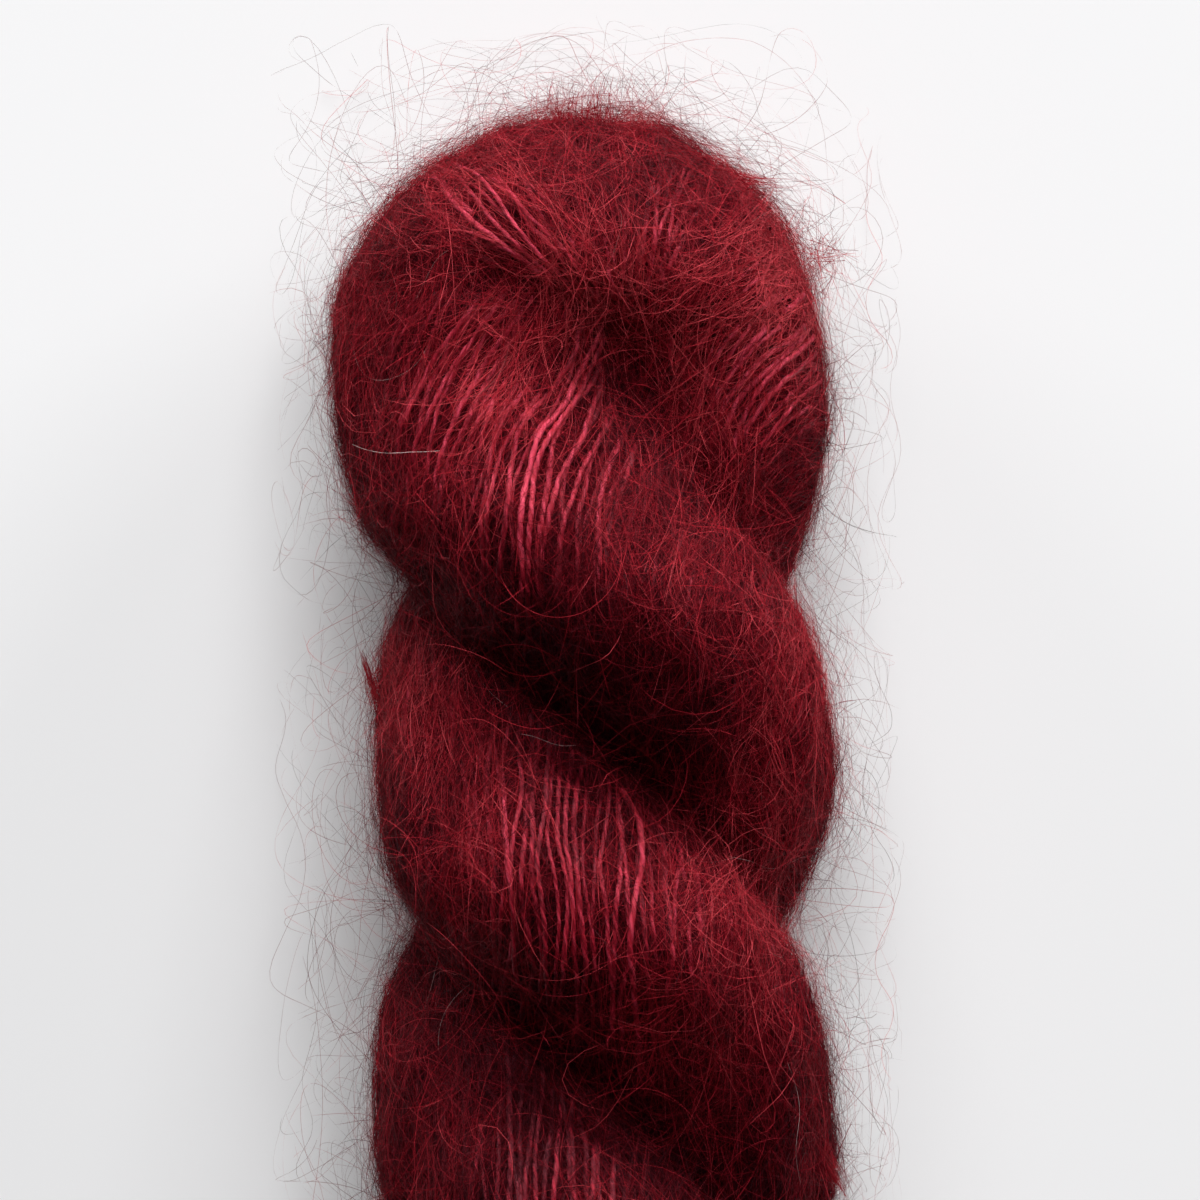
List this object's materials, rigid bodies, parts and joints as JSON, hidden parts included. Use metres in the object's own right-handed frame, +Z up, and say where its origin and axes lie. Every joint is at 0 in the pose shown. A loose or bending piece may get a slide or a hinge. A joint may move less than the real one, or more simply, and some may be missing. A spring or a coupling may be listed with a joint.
{
  "type": "skein of mohair silk yarn",
  "caption": "Hank of fuzzy lace yarn, folded in half and twisted round itself, with a rounded head, a dimple in its fold and a tucked tail.",
  "frame": {"origin": "on the surface that the skein rests on, under the middle of its bounding box", "axes": "+Y along the skein towards its folded head, +X across it, +Z up"},
  "size_m": [0.0711, 0.25, 0.0534],
  "materials": {
    "mohair_silk": "brushed mohair fuzz over a silk core, soft lustre along the strands"
  },
  "bodies": {
    "root": {"skein": "mohair_silk"}
  },
  "joints": []
}
